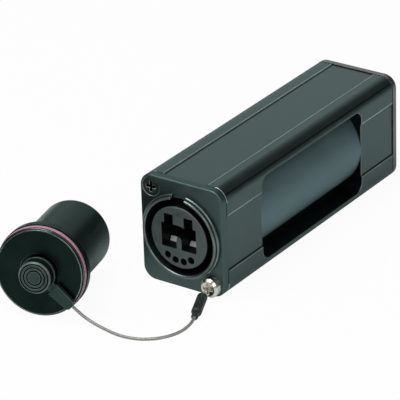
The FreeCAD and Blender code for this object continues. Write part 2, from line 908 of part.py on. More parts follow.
def sunk_screw(name, x, z):
    """Countersunk screw, flush with the flange plate."""
    radius = size("screw_radius")
    top = size("sunk_head_gap")
    body = turned(
        f"{name}_turned",
        [
            (ZERO, top),
            (size("sunk_head_radius"), top),
            (radius, top + size("sunk_head_radius") - radius),
            (radius, size("screw_length") - radius / 2),
            (radius / 2, size("screw_length")),
            (ZERO, size("screw_length")),
        ],
    )
    at(body, x, ZERO, z)
    return cut(name, body, cross_recess(name, top, x, z))


def make_screws():
    """Two screws at each end, on opposite corners of the flange plate."""
    finish("front_countersunk_screw", place_port(sunk_screw("front_sunk", -screw_x, screw_z), "front"))
    rear_upper = sunk_screw("rear_upper", -screw_x, screw_z)
    rear_lower = sunk_screw("rear_lower", screw_x, -screw_z)
    finish("rear_screws", place_port(group("rear_screw_pair", [rear_upper, rear_lower]), "rear"))
    radius = size("screw_radius")
    seat = -size("terminal_thickness")
    top = seat - size("pan_head_height")
    crown = size("pan_head_crown")
    body = turned(
        "front_pan_turned",
        [
            (ZERO, top),
            (size("pan_head_radius") - crown, top),
            (size("pan_head_radius"), top + crown),
            (size("pan_head_radius"), seat),
            (radius, seat),
            (radius, size("screw_length") - radius / 2),
            (radius / 2, size("screw_length")),
            (ZERO, size("screw_length")),
        ],
    )
    at(body, screw_x, ZERO, -screw_z)
    pan = cut("front_pan", body, cross_recess("front_pan", top, screw_x, -screw_z))
    finish("front_pan_screw", place_port(pan, "front"))


def make_links():
    """Fibres and wires that run straight from port to port inside the box."""
    fibre_end = half_length - boot_end + size("fibre_grip")
    for side, sign in SIDES:
        fibre = rod(
            f"fibre_{side}_rod", size("fibre_radius"), (-fibre_end, fibre_end), port_x * sign, half_height
        )
        finish(f"fibre_{side}", fibre)
    wire_end = half_length - contact_back + size("wire_grip")
    wires = []
    radius = size("contact_bore") - size("fit_clearance")
    for index, (x, z) in enumerate(CONTACT_PLACES, start=1):
        wires.append(rod(f"link_wire_{index}", radius, (-wire_end, wire_end), x, half_height + z))
    finish("link_wires", group("link_wire_group", wires))


def tether_frame():
    """Place of the tether's start: at the end of the terminal's lug, turned as the sleeve points."""
    turn = FreeCAD.Rotation(FreeCAD.Vector(0, 0, 1), size("tether_angle").number)
    lug = size("lug_length").number * math.sin(math.radians(size("lug_angle").number))
    start = FreeCAD.Vector(
        screw_x.number - lug,
        -half_length.number - size("terminal_thickness").number,
        (size("tether_sleeve_radius") + size("tether_lift")).number,
    )
    return FreeCAD.Placement(start, turn)


def make_terminal():
    """Ring terminal under the pan screw; its lug points down and its tongue bends forward."""
    ring_y = (-size("terminal_thickness"), ZERO)
    lug_half = size("lug_width") / 2
    lug_stock = block("terminal_lug_stock", (-lug_half, lug_half), ring_y, (-size("lug_length"), ZERO))
    lug = group("terminal_lug", [lug_stock])
    lug.Placement.Rotation = FreeCAD.Rotation(FreeCAD.Vector(0, 1, 0), size("lug_angle").number)
    at(lug, screw_x, ZERO, -screw_z)
    disc = rod("terminal_disc", size("terminal_radius"), ring_y, screw_x, -screw_z)
    hole = rod("terminal_hole", size("screw_hole_radius"), ring_y, screw_x, -screw_z)
    flat = join("terminal_flat", [disc, lug])
    ring = place_port(cut("terminal_ring", flat, [hole]), "front")
    half = size("tongue_width") / 2
    head_bottom = half_height - screw_z - size("pan_head_radius") - size("fit_clearance")
    tongue_top = head_bottom - size("tether_sleeve_radius") - size("tether_lift")
    tongue_z = (tongue_top - size("terminal_thickness"), tongue_top)
    tongue = block("terminal_tongue", (-half, half), (-tongue_end, size("tongue_root")), tongue_z)
    crimp_y = (-crimp_start - size("crimp_length"), -crimp_start)
    crimp = rod("terminal_crimp", size("crimp_radius"), crimp_y)
    arm = join("terminal_arm", [tongue, crimp])
    arm.Placement = tether_frame()
    finish("tether_terminal", join("terminal", [ring, arm]))


def make_tether_sleeve():
    """Shrunk sleeve over the crimp and the end of the wire."""
    start = -tether_sleeve_start
    end = start - size("tether_sleeve_length")
    shoulder = end + size("tether_sleeve_tip_length")
    taper = size("tether_sleeve_radius") - size("tether_sleeve_tip_radius")
    body = turned(
        "tether_sleeve_turned",
        [
            (ZERO, start),
            (size("tether_sleeve_radius"), start),
            (size("tether_sleeve_radius"), shoulder + taper),
            (size("tether_sleeve_tip_radius"), shoulder),
            (size("tether_sleeve_tip_radius"), end),
            (ZERO, end),
        ],
    )
    gap = size("fit_clearance")
    bore_y = (-crimp_start - size("crimp_length") - gap, ZERO)
    bore = rod("tether_sleeve_bore", size("crimp_radius") + gap, bore_y)
    sleeve = cut("tether_sleeve_cut", body, [bore])
    sleeve.Placement = tether_frame()
    finish("tether_sleeve", sleeve)


def cap_frame():
    """Place of the cap as it lies: on the edge of its flange and on the end of its body."""
    flange_radius = cap_flange_radius.number
    rest = (size("cap_flange_end") - size("cap_flange_edge")).number
    drop = flange_radius - cap_body_radius.number
    run = size("cap_length").number - rest
    tilt = -math.atan2(drop, run)
    height = flange_radius * math.cos(tilt) - rest * math.sin(tilt)
    heading = FreeCAD.Rotation(FreeCAD.Vector(0, 0, 1), size("cap_heading").number)
    lean = FreeCAD.Rotation(FreeCAD.Vector(1, 0, 0), math.degrees(tilt))
    centre = FreeCAD.Vector(size("cap_x").number, size("cap_y").number, height)
    return FreeCAD.Placement(centre, heading.multiply(lean))


def make_cap():
    """Dust cap: flange with a coloured ring round it, hollow body and a rivet for the tether."""
    edge = size("cap_edge")
    recess = size("cap_recess_depth")
    disc = size("cap_disc_thickness")
    groove_end = disc + size("cap_ring_width")
    groove = cap_disc_radius - size("cap_groove_depth")
    flange_end = size("cap_flange_end")
    flange_edge = size("cap_flange_edge")
    fillet = size("cap_fillet")
    body = turned(
        "cap_turned",
        [
            (ZERO, recess),
            (size("cap_recess_radius"), recess),
            (size("cap_recess_radius"), ZERO),
            (cap_disc_radius - edge, ZERO),
            (cap_disc_radius, edge),
            (cap_disc_radius, disc),
            (groove, disc),
            (groove, groove_end),
            (cap_flange_radius, groove_end),
            (cap_flange_radius, flange_end - flange_edge),
            (cap_flange_radius - flange_edge, flange_end),
            (cap_body_radius + fillet, flange_end),
            (cap_body_radius, flange_end + fillet),
            (cap_body_radius, size("cap_length")),
            (cap_bore_radius, size("cap_length")),
            (cap_bore_radius, size("cap_floor")),
            (ZERO, size("cap_floor")),
        ],
    )
    shank = size("rivet_shank_radius")
    shank_hole = rod("cap_rivet_hole", shank + size("fit_clearance"), (ZERO, size("cap_floor")))
    cap = cut("cap_cut", body, [shank_hole])
    cap.Placement = cap_frame()
    finish("cap_body", cap)

    gap = size("fit_clearance")
    inner = groove + gap
    ring = turned(
        "cap_ring_turned",
        [
            (inner, disc + gap),
            (cap_ring_radius - edge / 2, disc + gap),
            (cap_ring_radius, disc + gap + edge / 2),
            (cap_ring_radius, groove_end - gap - edge / 2),
            (cap_ring_radius - edge / 2, groove_end - gap),
            (inner, groove_end - gap),
        ],
    )
    ring.Placement = cap_frame()
    finish("cap_ring", ring)

    neck = -(size("tab_thickness") + size("tab_gap") * 2)
    top = neck - size("rivet_height")
    width = size("rivet_groove_width")
    pitch = width + size("rivet_land_width")
    floor = top + size("rivet_groove_depth")
    outline = [(ZERO, top)]
    for step in reversed(range(BUTTON_GROOVES)):
        inside = size("rivet_groove_radius") - pitch * step
        outside = inside + width
        outline += [(inside, top), (inside, floor), (outside, floor), (outside, top)]
    outline += [
        (size("rivet_radius"), top + edge),
        (size("rivet_radius"), neck),
        (size("rivet_neck_radius"), neck),
        (size("rivet_neck_radius"), recess),
        (shank, recess),
        (shank, size("rivet_shank_length")),
        (ZERO, size("rivet_shank_length")),
    ]
    rivet = turned("cap_rivet_turned", outline)
    rivet.Placement = cap_frame()
    finish("cap_rivet", rivet)


def make_tab():
    """Tab with an eye round the neck of the rivet and a thicker arm that holds the end of the tether."""
    back = -size("tab_gap")
    y = (back - size("tab_thickness"), back)
    start = size("tab_arm_start")
    reach = size("tab_reach")
    corner = size("tab_tip_corner")
    root = size("tab_root_width") / 2
    tip = size("tab_tip_width") / 2
    outline = [
        (start, -root),
        (reach - corner, -tip),
        (reach, corner - tip),
        (reach, tip - corner),
        (reach - corner, tip),
        (start, root),
    ]
    thickness = size("tab_thickness") + size("tab_arm_rise")
    arm = pad("tab_arm", "XZ_Plane", lambda sketch: polygon(sketch, outline), thickness, True)
    at(arm, ZERO, back - thickness, ZERO)
    half_neck = size("tab_neck_width") / 2
    neck = block("tab_neck", (ZERO, (start + reach) / 2), y, (-half_neck, half_neck))
    disc = rod("tab_disc", size("tab_ring_radius"), y)
    eye = rod("tab_eye", size("rivet_neck_radius") + size("running_clearance"), y)
    tab = cut("tab_cut", join("tab_stock", [arm, neck, disc]), [eye])
    tab.Placement = tab_frame()
    finish("tether_tab", tab)


def tab_frame():
    """Place of the tab: on the face of the cap, turned down from level."""
    turn = FreeCAD.Rotation(FreeCAD.Vector(0, 1, 0), size("tab_angle").number)
    return cap_frame().multiply(FreeCAD.Placement(FreeCAD.Vector(0, 0, 0), turn))


def cord_path(points):
    """Straight runs joined by tangent arcs, each arc as large as its two runs allow."""
    edges = []
    start = points[0]
    radii = []
    for before, corner, after in zip(points, points[1:], points[2:]):
        into = corner - before
        out = after - corner
        half_turn = into.getAngle(out) / 2
        reach = ARC_SHARE * min(into.Length, out.Length)
        radii.append(reach / math.tan(half_turn))
        into.normalize()
        out.normalize()
        first = corner - into * reach
        last = corner + out * reach
        inward = out - into
        inward.normalize()
        bulge = radii[-1] * (1 / math.cos(half_turn) - 1)
        edges.append(Part.LineSegment(start, first).toShape())
        edges.append(Part.Arc(first, corner + inward * bulge, last).toShape())
        start = last
    edges.append(Part.LineSegment(start, points[-1]).toShape())
    print("tether radii", [round(radius, 1) for radius in radii])
    return Part.Wire(edges)


def make_tether_wire():
    """Thin wire rope from the sleeve to the tab, lying in front of the box."""
    sleeve_tip = tether_sleeve_start + size("tether_sleeve_length")
    start = tether_frame().multVec(FreeCAD.Vector(0, -sleeve_tip.number, 0))
    tab_middle = -(size("tab_gap") + size("tab_thickness") / 2)
    end = tab_frame().multVec(FreeCAD.Vector(size("tab_reach").number, tab_middle.number, 0))
    leaving = tether_frame().multVec(FreeCAD.Vector(0, -(sleeve_tip + size("tether_first_run")).number, 0))
    tab_run = size("tab_reach") + size("tether_last_run")
    arriving = tab_frame().multVec(FreeCAD.Vector(tab_run.number, tab_middle.number, 0))
    middle = [FreeCAD.Vector(*point) for point in TETHER_POINTS]
    points = [start, leaving] + middle + [arriving, end]
    path = cord_path(points)
    radius = size("tether_wire_radius").number
    section = Part.Wire(Part.Circle(start, points[1] - start, radius).toShape())
    shape = path.makePipeShell([section], True, False)
    ideal = math.pi * radius ** 2 * path.Length
    print("tether length", round(path.Length, 2), "volume ratio", round(shape.Volume / ideal, 4))
    print("tether runs", [round((after - before).Length, 2) for before, after in zip(points, points[1:])])
    print("tether points", [tuple(round(value, 3) for value in point) for point in points])
    feature = doc.addObject("Part::Feature", "tether_wire_pipe")
    feature.Shape = shape
    finish("tether_wire", feature)


make_housing()
for port_end in ("front", "rear"):
    make_shell(port_end)
    make_gasket(port_end)
    make_insert(port_end)
    make_adapter_back(port_end)
    make_ring(port_end)
    make_sleeves(port_end)
    make_leaves(port_end)
    make_contacts(port_end)
    make_plugs(port_end)
make_screws()
make_links()
make_terminal()
make_tether_sleeve()
make_cap()
make_tab()
make_tether_wire()
doc.recompute()

for item in doc.Objects:
    if "Invalid" in item.State or "Error" in item.State:
        raise RuntimeError(f"{item.Label} did not compute: {item.State}")
for item in nodes:
    if item.Shape.isNull() or not item.Shape.isValid() or not item.Shape.Solids:
        raise RuntimeError(f"{item.Label} has no valid solid")

os.makedirs("parts", exist_ok=True)
for item in nodes:
    item.Shape.exportStep(f"parts/{item.Label}.step")
print(len(nodes), "sub-parts")
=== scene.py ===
"""Looks of the duplex fibre coupler with its tethered dust cap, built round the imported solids.

Metres. X runs across the box, Y along it from the front port to the rear port, Z up from the floor.
"""

import json
import math

import bmesh
import bpy
from mathutils import Matrix, Vector


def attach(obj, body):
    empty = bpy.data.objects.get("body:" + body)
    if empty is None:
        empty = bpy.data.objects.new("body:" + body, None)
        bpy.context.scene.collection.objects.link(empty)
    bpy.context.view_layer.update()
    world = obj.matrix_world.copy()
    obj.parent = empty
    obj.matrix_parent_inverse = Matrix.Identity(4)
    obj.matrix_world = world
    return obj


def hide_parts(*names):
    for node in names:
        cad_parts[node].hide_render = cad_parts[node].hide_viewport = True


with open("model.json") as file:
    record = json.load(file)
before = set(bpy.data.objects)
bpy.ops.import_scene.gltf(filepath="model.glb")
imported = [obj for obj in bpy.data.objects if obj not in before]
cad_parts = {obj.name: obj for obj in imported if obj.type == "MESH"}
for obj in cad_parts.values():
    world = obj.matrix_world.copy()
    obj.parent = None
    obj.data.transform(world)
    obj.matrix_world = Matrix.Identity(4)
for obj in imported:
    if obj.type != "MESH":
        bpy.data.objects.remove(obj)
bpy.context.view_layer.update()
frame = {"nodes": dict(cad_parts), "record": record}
nodes = frame["nodes"]
record = frame["record"]

BODY_OF = {node: body for body, members in record["behaviour"]["bodies"].items() for node in members}
SWIVEL = record["behaviour"]["joints"][0]
CAP_MIDDLE = Vector(SWIVEL["pos_m"])
CAP_AXIS = Vector(SWIVEL["axis"])
BOX_AXIS = Vector((0.0, 1.0, 0.0))
UPRIGHT = Vector((0.0, 0.0, 1.0))

MM = 0.001

# Camera at the photograph's viewing angle
CAMERA_TARGET = Vector((6.194, -43.4, 27.535)) * MM
CAMERA_AZIMUTH = math.radians(35.44)
CAMERA_ELEVATION = math.radians(26.197)
CAMERA_ROLL = math.radians(-2.026)
CAMERA_DISTANCE = 797.57 * MM
CAMERA_LENS = 277.56
CAMERA_SENSOR = 36.0

# Tether from the tip of its sleeve to the end of its tab
TETHER_ROUTE = [
    (0.012999, -0.057292, 0.001420),
    (0.013971, -0.059486, 0.001420),
    (0.013950, -0.062600, 0.000850),
    (0.013200, -0.065300, 0.000500),
    (0.011800, -0.068300, 0.000470),
    (0.009600, -0.071000, 0.000470),
    (0.006500, -0.073000, 0.000470),
    (0.002400, -0.073950, 0.000470),
    (-0.001200, -0.073750, 0.000480),
    (-0.004600, -0.073100, 0.000550),
    (-0.008000, -0.072850, 0.001050),
    (-0.010988, -0.073501, 0.002740),
    (-0.013501, -0.074069, 0.004959),
]
TETHER_DIAMETER = 0.00084

# Widths of the rounded edges, in millimetres
EDGE_WIDTHS = {
    "housing": 0.18,
    "front_shell": 0.15,
    "rear_shell": 0.1,
    "front_insert": 0.07,
    "rear_insert": 0.07,
    "front_countersunk_screw": 0.12,
    "front_pan_screw": 0.12,
    "rear_screws": 0.1,
    "tether_terminal": 0.03,
    "tether_sleeve": 0.2,
    "tether_tab": 0.2,
    "cap_body": 0.15,
    "cap_ring": 0.1,
    "cap_rivet": 0.1,
    "front_leaf_left": 0.05,
    "front_leaf_right": 0.05,
    "rear_leaf_left": 0.05,
    "rear_leaf_right": 0.05,
}
EDGE_STEPS = 3

# Points nearer than WELD are one point, and faces thinner than SLIVER are taken out
WELD = 0.002 * MM
SLIVER = 0.05 * MM

# Angles between two faces. FLAT ones are joined, and those under CREASE are shaded as one. Edges over SHARP
# are rounded, on the housing those over PANEL_EDGE. In a rounding, faces under TURN are shaded as one.
FLAT = math.radians(1.0)
CREASE = math.radians(20.0)
SHARP = math.radians(30.0)
PANEL_EDGE = math.radians(25.0)
TURN = math.radians(50.0)

# Range of the share of an axis in the normal of a face that lies aslant to it
LEAST_SLANT = 0.35
MOST_SLANT = 0.94

# Places that part one finish from another. A rise is a height over the middle of the port.
PORT_HEIGHT = 15.5 * MM
BARREL_RADIUS = 12.6 * MM
BARREL_SLACK = 0.06 * MM
HOUSING_END = 40.5 * MM
CORNER_X = 9.0 * MM
CORNER_RISE = 11.5 * MM
WINDOW_Y = 24.9 * MM
WINDOW_RISE = 12.4 * MM
PANEL_RISE = 9.0 * MM
POCKET_X = 12.6 * MM
POCKET_RISE = 14.0 * MM
INSERT_FACE = 44.9 * MM
SCREW_FACE = 43.4 * MM
FACE_DEPTH = 0.2 * MM
COLLAR_REACH = 12.25 * MM
SINK_X = -9.5 * MM
SINK_Z = 27.5 * MM
SINK_REACH = 3.0 * MM
BUTTON_FACE = -4.0 * MM
DISC_RIM = 0.6 * MM

# Numbers of the housing's finishes. Its edges are painted lighter as wear and as highlights, and its hollows
# are painted black as shade.
SKIN, BARREL, RUBBED_HIGHLIGHT, PAINTED_SHADE, WORN_HIGHLIGHT = range(5)

# Tints of the gloss on black plastic, on dark metal and on the cap
TEAL_GLOSS = (0.6, 1.0, 0.94, 1.0)
DARK_RIM = (0.85, 1.0, 0.97, 1.0)
CAP_RIM = (0.75, 0.87, 0.84, 1.0)

# Range of a noise texture's values that shows over most of a surface
NOISE_LOW = 0.3
NOISE_HIGH = 0.7

# Length of one wave of the wave texture at a scale of 1, and distance between two turned rings
WAVE_LENGTH = math.pi / 10
RING_PITCH = 0.12 * MM

# Waves of the strands along the wire rope and round it
ROPE_WAVES = (60.0, 2.0, 1.0)

# Light of the grey room, and half the length of a side of the floor
ROOM_LIGHT = 0.14
FLOOR_HALF = 12.0

# Share of white in the floor as the camera sees it and as reflections show it
SEEN_WHITE = 0.95
MIRRORED_WHITE = 0.12
WHITE = (1.0, 1.0, 1.0, 1.0)
FLOOR_GREY = (0.86, 0.87, 0.87, 1.0)


def colour(red, green, blue):
    """Scene colour of a screen colour given in steps of 0 to 255, by the sRGB curve."""
    linear = []
    for step in (red, green, blue):
        share = step / 255
        linear.append(share / 12.92 if share <= 0.04045 else ((share + 0.055) / 1.055) ** 2.4)
    return (*linear, 1.0)


class Finish:
    """A procedural material: one surface shader and the textures that vary it."""

    def __init__(self, name, **sockets):
        self.material = bpy.data.materials.new(name)
        self.material.use_nodes = True
        self.tree = self.material.node_tree
        self.shader = self.tree.nodes["Principled BSDF"]
        for key, value in sockets.items():
            socket = key.replace("_", " ").title().replace("Ior", "IOR")
            self.shader.inputs[socket].default_value = value

    def add(self, kind, **settings):
        """New node of a kind, with its settings."""
        node = self.tree.nodes.new(kind)
        for name, value in settings.items():
            setattr(node, name, value)
        return node

    def join(self, source, target):
        """Link from one node's output to another's input."""
        self.tree.links.new(source, target)

    def noise(self, size, stretch=(1, 1, 1), detail=3.0):
        """Noise with grains of a given size in metres, drawn out along the axes by stretch."""
        coordinates = self.add("ShaderNodeTexCoord")
        mapping = self.add("ShaderNodeMapping")
        mapping.inputs["Scale"].default_value = [1 / (size * longer) for longer in stretch]
        texture = self.add("ShaderNodeTexNoise")
        texture.inputs["Scale"].default_value = 1.0
        texture.inputs["Detail"].default_value = detail
        self.join(coordinates.outputs["Object"], mapping.inputs["Vector"])
        self.join(mapping.outputs["Vector"], texture.inputs["Vector"])
        return texture.outputs["Fac"]

    def vary_colour(self, factor, low, high):
        """Base colour that runs between two screen colours with a texture."""
        ramp = self.add("ShaderNodeValToRGB")
        first, last = ramp.color_ramp.elements
        first.position = NOISE_LOW
        first.color = colour(*low)
        last.position = NOISE_HIGH
        last.color = colour(*high)
        self.join(factor, ramp.inputs["Fac"])
        self.join(ramp.outputs["Color"], self.shader.inputs["Base Color"])

    def vary_roughness(self, factor, low, high):
        """Roughness that runs from low to high with a texture."""
        spread = self.add("ShaderNodeMapRange")
        spread.inputs["From Min"].default_value = NOISE_LOW
        spread.inputs["From Max"].default_value = NOISE_HIGH
        spread.inputs["To Min"].default_value = low
        spread.inputs["To Max"].default_value = high
        self.join(factor, spread.inputs["Value"])
        self.join(spread.outputs["Result"], self.shader.inputs["Roughness"])

    def bump(self, height, depth):
        """Relief of a given depth in metres."""
        relief = self.add("ShaderNodeBump")
        relief.inputs["Strength"].default_value = 1.0
        relief.inputs["Distance"].default_value = depth
        self.join(height, relief.inputs["Height"])
        self.join(relief.outputs["Normal"], self.shader.inputs["Normal"])


def dark_sheen(name, low, high, smooth, matt, lines=(1, 1, 1), share=1.0):
    """Black dyed or plated skin with a cold sheen, which mirrors its surroundings by the share of metal."""
    finish = Finish(name, metallic=share, specular_tint=DARK_RIM)
    grain = finish.noise(size=0.25 * MM, stretch=lines, detail=2.0)
    mottle = finish.noise(size=5 * MM)
    finish.vary_colour(mottle, low, high)
    finish.vary_roughness(mottle, smooth, matt)
    finish.bump(grain, depth=0.003 * MM)
    return finish.material


def black_plastic(name, low, high, smooth, matt, gloss=0.5):
    """Moulded black plastic: a cold gloss, a faint mottle and a fine grain."""
    finish = Finish(name, specular_tint=TEAL_GLOSS, specular_ior_level=gloss)
    grain = finish.noise(size=0.2 * MM, detail=4.0)
    mottle = finish.noise(size=4 * MM)
    finish.vary_colour(mottle, low, high)
    finish.vary_roughness(mottle, smooth, matt)
    finish.bump(grain, depth=0.003 * MM)
    return finish.material


def turned_black():
    """Black cap with the fine rings of a lathe about its axis."""
    finish = Finish("cap_black", metallic=1.0, specular_tint=CAP_RIM)
    coordinates = finish.add("ShaderNodeTexCoord")
    mapping = finish.add("ShaderNodeMapping", vector_type="TEXTURE")
    mapping.inputs["Location"].default_value = CAP_MIDDLE
    mapping.inputs["Rotation"].default_value = CAP_AXIS.to_track_quat("Y", "Z").to_euler()
    rings = finish.add("ShaderNodeTexWave", wave_type="RINGS", rings_direction="Y")
    rings.inputs["Scale"].default_value = WAVE_LENGTH / RING_PITCH
    finish.join(coordinates.outputs["Object"], mapping.inputs["Vector"])
    finish.join(mapping.outputs["Vector"], rings.inputs["Vector"])
    mottle = finish.noise(size=5 * MM)
    finish.vary_colour(mottle, low=(21, 34, 31), high=(28, 42, 39))
    finish.vary_roughness(mottle, low=0.26, high=0.34)
    finish.bump(rings.outputs["Fac"], depth=0.004 * MM)
    return finish.material


def plated_nickel():
    """Satin nickel plated casting."""
    finish = Finish("plated_nickel", metallic=1.0)
    peel = finish.noise(size=0.3 * MM)
    mottle = finish.noise(size=5 * MM)
    finish.vary_colour(mottle, low=(104, 109, 106), high=(118, 124, 120))
    finish.vary_roughness(mottle, low=0.3, high=0.38)
    finish.bump(peel, depth=0.006 * MM)
    return finish.material


def moulded(name, low, high, smooth=0.4, matt=0.52):
    """Moulded plastic or ceramic with a fine grain."""
    finish = Finish(name, specular_ior_level=0.5)
    pits = finish.noise(size=0.18 * MM, detail=4.0)
    mottle = finish.noise(size=3 * MM)
    finish.vary_colour(mottle, low, high)
    finish.vary_roughness(mottle, smooth, matt)
    finish.bump(pits, depth=0.006 * MM)
    return finish.material


def metal(name, low, high, smooth=0.2, matt=0.34, lines=(1, 12, 1), share=1.0):
    """Plated or rolled metal with fine lines along one axis, and dulled where the share of metal is low."""
    finish = Finish(name, metallic=share)
    grain = finish.noise(size=0.12 * MM, stretch=lines, detail=2.0)
    mottle = finish.noise(size=1.5 * MM)
    finish.vary_colour(mottle, low, high)
    finish.vary_roughness(grain, smooth, matt)
    finish.bump(grain, depth=0.003 * MM)
    return finish.material


def rubber(name, low, high, smooth=0.5, matt=0.65):
    """Soft rubber with a dusty, slightly uneven skin."""
    finish = Finish(name, specular_ior_level=0.4)
    skin = finish.noise(size=0.25 * MM, detail=4.0)
    mottle = finish.noise(size=2 * MM)
    finish.vary_colour(mottle, low, high)
    finish.vary_roughness(skin, smooth, matt)
    finish.bump(skin, depth=0.01 * MM)
    return finish.material


def rope():
    """Dull wire rope with strands that wind round it."""
    finish = Finish("wire_rope", metallic=0.55)
    coordinates = finish.add("ShaderNodeTexCoord")
    mapping = finish.add("ShaderNodeMapping")
    mapping.inputs["Scale"].default_value = ROPE_WAVES
    strands = finish.add("ShaderNodeTexWave", bands_direction="DIAGONAL")
    strands.inputs["Scale"].default_value = 1.0
    finish.join(coordinates.outputs["UV"], mapping.inputs["Vector"])
    finish.join(mapping.outputs["Vector"], strands.inputs["Vector"])
    finish.vary_colour(strands.outputs["Fac"], low=(128, 129, 125), high=(182, 183, 178))
    finish.vary_roughness(strands.outputs["Fac"], low=0.34, high=0.46)
    finish.bump(strands.outputs["Fac"], depth=0.03 * MM)
    return finish.material


def dress(material, *names):
    """Give the named solids one material."""
    for name in names:
        slots = nodes[name].data.materials
        slots.clear()
        slots.append(material)


def plain_normal(face, vertex, rounding):
    """Normal at a vertex of a face between roundings, shared with the faces that run on smoothly from it."""
    total = Vector()
    for other in vertex.link_faces:
        if other not in rounding and other.normal.dot(face.normal) > math.cos(CREASE):
            total += other.normal * other.calc_area()
    return total.normalized()


def rounding_normal(face, vertex, rounding):
    """Normal at a vertex of a rounding: that of the plain face that it meets there, or else its own."""
    total = Vector()
    for edge in vertex.link_edges:
        if face in edge.link_faces:
            for other in edge.link_faces:
                if other not in rounding:
                    total += plain_normal(other, vertex, rounding)
    if total.length == 0.0:
        for other in vertex.link_faces:
            if other.normal.dot(face.normal) > math.cos(TURN):
                total += other.normal * other.calc_area()
    return total.normalized()


def round_edges(shape, width, sharp):
    """Round the sharp outer edges of a shape over a width, and give the faces of the roundings."""
    bmesh.ops.remove_doubles(shape, verts=shape.verts, dist=WELD)
    bmesh.ops.dissolve_limit(shape, angle_limit=FLAT, verts=shape.verts, edges=shape.edges)
    bmesh.ops.connect_verts_concave(shape, faces=shape.faces)
    bmesh.ops.dissolve_degenerate(shape, dist=SLIVER, edges=shape.edges)
    edges = []
    for edge in shape.edges:
        if edge.is_manifold and edge.is_convex and edge.calc_face_angle() > sharp:
            edges.append(edge)
    made = bmesh.ops.bevel(
        shape,
        geom=edges,
        offset=width,
        offset_type="OFFSET",
        segments=EDGE_STEPS,
        profile=0.5,
        affect="EDGES",
        clamp_overlap=False,
    )
    return set(made["faces"])


def soften(name, *materials, paint=None, sharp=SHARP):
    """Stand-in for a solid with its sharp outer edges rounded.

    The paint function gives the number of a face's material, from the face and whether it is such a rounding.
    """
    mesh = nodes[name].data.copy()
    mesh.attributes.remove(mesh.attributes["custom_normal"])
    mesh.materials.clear()
    for material in materials:
        mesh.materials.append(material)
    shape = bmesh.new()
    shape.from_mesh(mesh)
    rounding = round_edges(shape, EDGE_WIDTHS[name] * MM, sharp)
    for face in shape.faces:
        face.smooth = True
        face.material_index = paint(face, face in rounding) if paint else 0
    shape.normal_update()
    normals = []
    for face in shape.faces:
        rule = rounding_normal if face in rounding else plain_normal
        for corner in face.loops:
            normals.append(rule(face, corner.vert, rounding))
    shape.to_mesh(mesh)
    shape.free()
    mesh.normals_split_custom_set(normals)
    piece = bpy.data.objects.new(f"{name}_softened", mesh)
    bpy.context.scene.collection.objects.link(piece)
    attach(piece, BODY_OF[name])
    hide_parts(name)
    return piece


def slanted(face, axis):
    """Whether a face lies aslant to an axis, as chamfers and roundings do."""
    return LEAST_SLANT < abs(face.normal.dot(axis)) < MOST_SLANT


def cap_offset(face):
    """How far the middle of a face lies along the cap's axis from the front of its disc."""
    return (face.calc_center_median() - CAP_MIDDLE).dot(CAP_AXIS)


def housing_paint(face, rounding):
    """Number of a housing face's finish: skin, barrel in a window, edge rubbing painted lighter as a
    highlight, a hollow painted black as shade, or edge wear painted lighter as a dimmer highlight.
    """
    middle = face.calc_center_median()
    rise = middle.z - PORT_HEIGHT
    if abs(middle.y) > HOUSING_END:
        corner = abs(middle.x) > CORNER_X and abs(rise) > CORNER_RISE
        return RUBBED_HIGHLIGHT if rounding and corner else SKIN
    low_edge = -PANEL_RISE < rise < 0.0
    # Edge roundings are painted lighter as wear and as painted highlights, dimmer at the window and along the
    # lower panel edges
    if rounding:
        at_window = abs(middle.y) < WINDOW_Y and abs(rise) < WINDOW_RISE
        return WORN_HIGHLIGHT if at_window or low_edge else RUBBED_HIGHLIGHT
    # Painted shade: the lower panel slopes are painted black as a shadow line
    if low_edge and abs(middle.x) > POCKET_X and slanted(face, UPRIGHT):
        return PAINTED_SHADE
    if abs(math.hypot(middle.x, rise) - BARREL_RADIUS) < BARREL_SLACK:
        return BARREL
    # Painted shade: the window's pocket, and the bore within it, are painted black
    return PAINTED_SHADE if abs(middle.x) < POCKET_X and abs(rise) < POCKET_RISE else SKIN


def insert_paint(face, rounding):
    """1 behind the face of an insert, in its mouths and holes and round its side, painted black as shade, or
    else 0.
    """
    return 1 if INSERT_FACE - abs(face.calc_center_median().y) > FACE_DEPTH else 0


def collar_paint(face, rounding):
    """1 on the slanted edges of the collar and of the countersink, painted lighter as wear and as a painted
    highlight, or else 0.
    """
    middle = face.calc_center_median()
    on_collar = math.hypot(middle.x, middle.z - PORT_HEIGHT) < COLLAR_REACH
    at_sink = math.hypot(middle.x - SINK_X, middle.z - SINK_Z) < SINK_REACH
    return 1 if slanted(face, BOX_AXIS) and (on_collar or at_sink) else 0


def screw_paint(face, rounding):
    """1 on the rim of the countersunk screw, painted lighter as wear and as a painted highlight ring, 2 in
    its cross, painted black as shade, or else 0.
    """
    if SCREW_FACE - abs(face.calc_center_median().y) < FACE_DEPTH:
        return 1 if rounding or slanted(face, BOX_AXIS) else 0
    return 2


def tab_paint(face, rounding):
    """1 on the slanted edges of the tether's tab, painted lighter as scuffs and as a painted highlight, or
    else 0.
    """
    return 1 if slanted(face, CAP_AXIS) else 0


def cap_paint(face, rounding):
    """1 on the edge roundings of the rim of the cap's disc, painted lighter as wear and as a painted
    highlight, or else 0.
    """
    return 1 if rounding and cap_offset(face) < DISC_RIM else 0


def button_paint(face, rounding):
    """1 on the edges of the button, painted lighter as scuffs and as a painted highlight, 2 in its grooves
    and below, painted black as shade, or else 0.
    """
    if rounding or slanted(face, CAP_AXIS):
        return 1
    return 2 if cap_offset(face) > BUTTON_FACE else 0


def both_ends(*names):
    """Names of a piece at the front and at the rear."""
    return [f"{end}_{name}" for end in ("front", "rear") for name in names]


